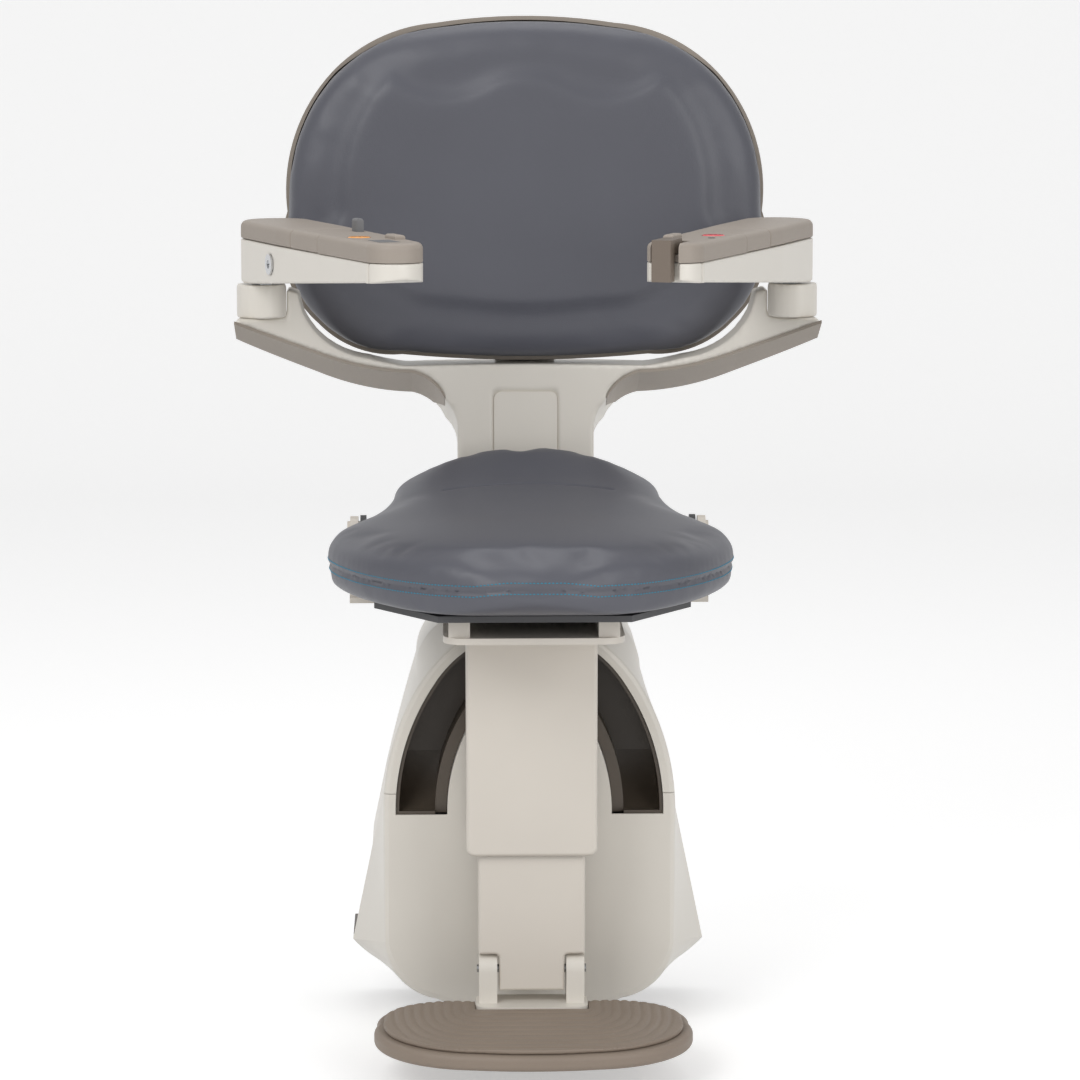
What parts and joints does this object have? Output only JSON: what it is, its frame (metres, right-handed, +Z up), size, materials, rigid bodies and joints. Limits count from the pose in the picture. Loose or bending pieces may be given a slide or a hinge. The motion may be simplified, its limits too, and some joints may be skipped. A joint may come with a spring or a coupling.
{
  "type": "stairlift chair",
  "caption": "Folding stairlift chair on a rail carriage, with a levelling column, swivel seat, fold-up arms and footrest.",
  "frame": {"origin": "on the rail tube's axis, at the middle of the carriage's guide shoe", "axes": "+X along the rail, towards the right in front view; the chair looks towards -Y; +Z up"},
  "size_m": [0.576, 0.502, 0.9956],
  "materials": {
    "cream_plastic": "satin moulded",
    "column_plastic": "satin moulded",
    "taupe_plastic": "fine grain",
    "dark_plastic": "fine grain",
    "footrest_rubber": "ribbed mat",
    "seat_vinyl": "grained upholstery over foam",
    "steel": "brushed",
    "painted_steel": "powder coat",
    "aluminium": "machined",
    "roller_nylon": "turned",
    "guide_nylon": "turned",
    "battery_case": "plain",
    "circuit_board": "plain",
    "chrome": "polished",
    "orange_plastic": "glossy",
    "red_plastic": "glossy",
    "grey_plastic": "plain",
    "window_glass": "glossy"
  },
  "bodies": {
    "carriage": {"rail_guide_shoe": "guide_nylon", "roller_axles": "steel", "chassis_plate": "painted_steel", "drive_gearbox": "aluminium", "drive_motor": "painted_steel", "levelling_motor": "painted_steel", "battery_packs": "battery_case", "control_board": "circuit_board", "hood_cover": "cream_plastic", "front_cover": "cream_plastic", "recess_liner": "dark_plastic", "lower_rear_cover": "dark_plastic", "upper_rear_panel": "cream_plastic"},
    "upper_left_roller": {"upper_left_roller": "roller_nylon"},
    "upper_right_roller": {"upper_right_roller": "roller_nylon"},
    "lower_left_roller": {"lower_left_roller": "roller_nylon"},
    "lower_right_roller": {"lower_right_roller": "roller_nylon"},
    "drive_pinion": {"drive_pinion": "steel"},
    "levelling_pinion": {"levelling_pinion": "steel"},
    "column": {"levelling_gear": "steel", "levelling_shaft": "steel", "column_frame": "painted_steel", "upper_column_cover": "column_plastic"},
    "footrest_slide": {"slide_tube": "aluminium", "lower_column_cover": "column_plastic", "footrest_hinge_pin": "steel"},
    "footrest": {"footrest_bracket": "cream_plastic", "footrest_board": "taupe_plastic", "footrest_mat": "footrest_rubber"},
    "chair": {"swivel_deck": "painted_steel", "seat_hinge_bracket": "painted_steel", "back_upright": "painted_steel", "yoke": "cream_plastic", "wing_covers": "taupe_plastic", "neck_panel": "cream_plastic", "back_shell": "taupe_plastic", "back_cushion": "seat_vinyl", "arm_knuckles": "aluminium", "arm_hinge_pins": "steel", "arm_posts": "cream_plastic"},
    "seat": {"seat_pan": "painted_steel", "seat_cushion": "seat_vinyl"},
    "left_arm": {"left_arm_shell": "cream_plastic", "left_arm_end_cap": "cream_plastic", "left_arm_pad": "taupe_plastic", "left_arm_collar": "taupe_plastic", "left_arm_control_housing": "taupe_plastic", "display_plate": "grey_plastic", "key_barrel": "chrome"},
    "right_arm": {"right_arm_shell": "cream_plastic", "right_arm_end_cap": "cream_plastic", "right_arm_pad": "taupe_plastic", "right_arm_collar": "taupe_plastic", "right_arm_control_housing": "taupe_plastic", "sensor_window": "window_glass"},
    "orange_button": {"orange_button": "orange_plastic"},
    "red_button": {"red_button": "red_plastic"},
    "lock_lever": {"lock_lever": "grey_plastic"},
    "key_rotor": {"key_rotor": "chrome"},
    "drive_toggle": {"drive_toggle": "taupe_plastic"}
  },
  "joints": [
    {"name": "levelling", "type": "hinge", "parent": "carriage", "child": "column", "pos_m": [0, 0, 0.095], "axis": [0, 1, 0], "range_deg": [-60, 60]},
    {"name": "drive_pinion_spin", "type": "hinge", "parent": "carriage", "child": "drive_pinion", "pos_m": [0, 0, -0.067], "axis": [0, 1, 0], "continuous": true},
    {"name": "upper_left_roller_spin", "type": "hinge", "parent": "carriage", "child": "upper_left_roller", "pos_m": [-0.11, 0, 0.0543], "axis": [0, 1, 0], "continuous": true},
    {"name": "upper_right_roller_spin", "type": "hinge", "parent": "carriage", "child": "upper_right_roller", "pos_m": [0.11, 0, 0.0543], "axis": [0, 1, 0], "continuous": true},
    {"name": "lower_left_roller_spin", "type": "hinge", "parent": "carriage", "child": "lower_left_roller", "pos_m": [-0.11, 0, -0.0543], "axis": [0, 1, 0], "continuous": true},
    {"name": "lower_right_roller_spin", "type": "hinge", "parent": "carriage", "child": "lower_right_roller", "pos_m": [0.11, 0, -0.0543], "axis": [0, 1, 0], "continuous": true},
    {"name": "levelling_pinion_spin", "type": "hinge", "parent": "carriage", "child": "levelling_pinion", "pos_m": [0.05543, 0, 0.07204], "axis": [0, 1, 0], "range_deg": [-241, 241]},
    {"name": "footrest_height", "type": "slide", "parent": "column", "child": "footrest_slide", "axis": [0, 0, -1], "range_m": [0, 0.05]},
    {"name": "footrest_fold", "type": "hinge", "parent": "footrest_slide", "child": "footrest", "pos_m": [0, -0.207, -0.041], "axis": [-1, 0, 0], "range_deg": [0, 88]},
    {"name": "chair_swivel", "type": "hinge", "parent": "column", "child": "chair", "pos_m": [0, -0.18, 0], "axis": [0, 0, 1], "range_deg": [-80, 80]},
    {"name": "seat_fold", "type": "hinge", "parent": "chair", "child": "seat", "pos_m": [0, -0.062, 0.372], "axis": [-1, 0, 0], "range_deg": [0, 88]},
    {"name": "left_armrest_fold", "type": "hinge", "parent": "chair", "child": "left_arm", "pos_m": [-0.248, -0.035, 0.645], "axis": [-0.9397, -0.342, 0], "range_deg": [0, 88]},
    {"name": "right_armrest_fold", "type": "hinge", "parent": "chair", "child": "right_arm", "pos_m": [0.248, -0.035, 0.645], "axis": [-0.9397, 0.342, 0], "range_deg": [0, 88]},
    {"name": "drive_toggle_tilt", "type": "hinge", "parent": "right_arm", "child": "drive_toggle", "pos_m": [0.1253, -0.35748, 0.645], "axis": [0, 0, 1], "range_deg": [-7, 7], "stiffness_Nm_per_rad": 0.6},
    {"name": "orange_button_press", "type": "slide", "parent": "left_arm", "child": "orange_button", "axis": [0, 0, -1], "range_m": [0, 0.0015], "stiffness_N_per_m": 800},
    {"name": "red_button_press", "type": "slide", "parent": "right_arm", "child": "red_button", "axis": [0, 0, -1], "range_m": [0, 0.0015], "stiffness_N_per_m": 800},
    {"name": "lock_lever_slide", "type": "slide", "parent": "left_arm", "child": "lock_lever", "axis": [0.342, -0.9397, 0], "range_m": [0, 0.006]},
    {"name": "key_turn", "type": "hinge", "parent": "left_arm", "child": "key_rotor", "pos_m": [-0.25036, -0.13376, 0.638], "axis": [-0.9397, -0.342, 0], "range_deg": [0, 90]}
  ],
  "couplings": [
    {"joint": "levelling_pinion_spin", "follows": "levelling", "ratio": -4},
    {"joint": "left_armrest_fold", "follows": "seat_fold", "ratio": 1},
    {"joint": "right_armrest_fold", "follows": "seat_fold", "ratio": 1},
    {"joint": "lower_left_roller_spin", "follows": "drive_pinion_spin", "ratio": 1.5429},
    {"joint": "lower_right_roller_spin", "follows": "drive_pinion_spin", "ratio": 1.5429},
    {"joint": "upper_left_roller_spin", "follows": "drive_pinion_spin", "ratio": -1.5429},
    {"joint": "upper_right_roller_spin", "follows": "drive_pinion_spin", "ratio": -1.5429}
  ]
}
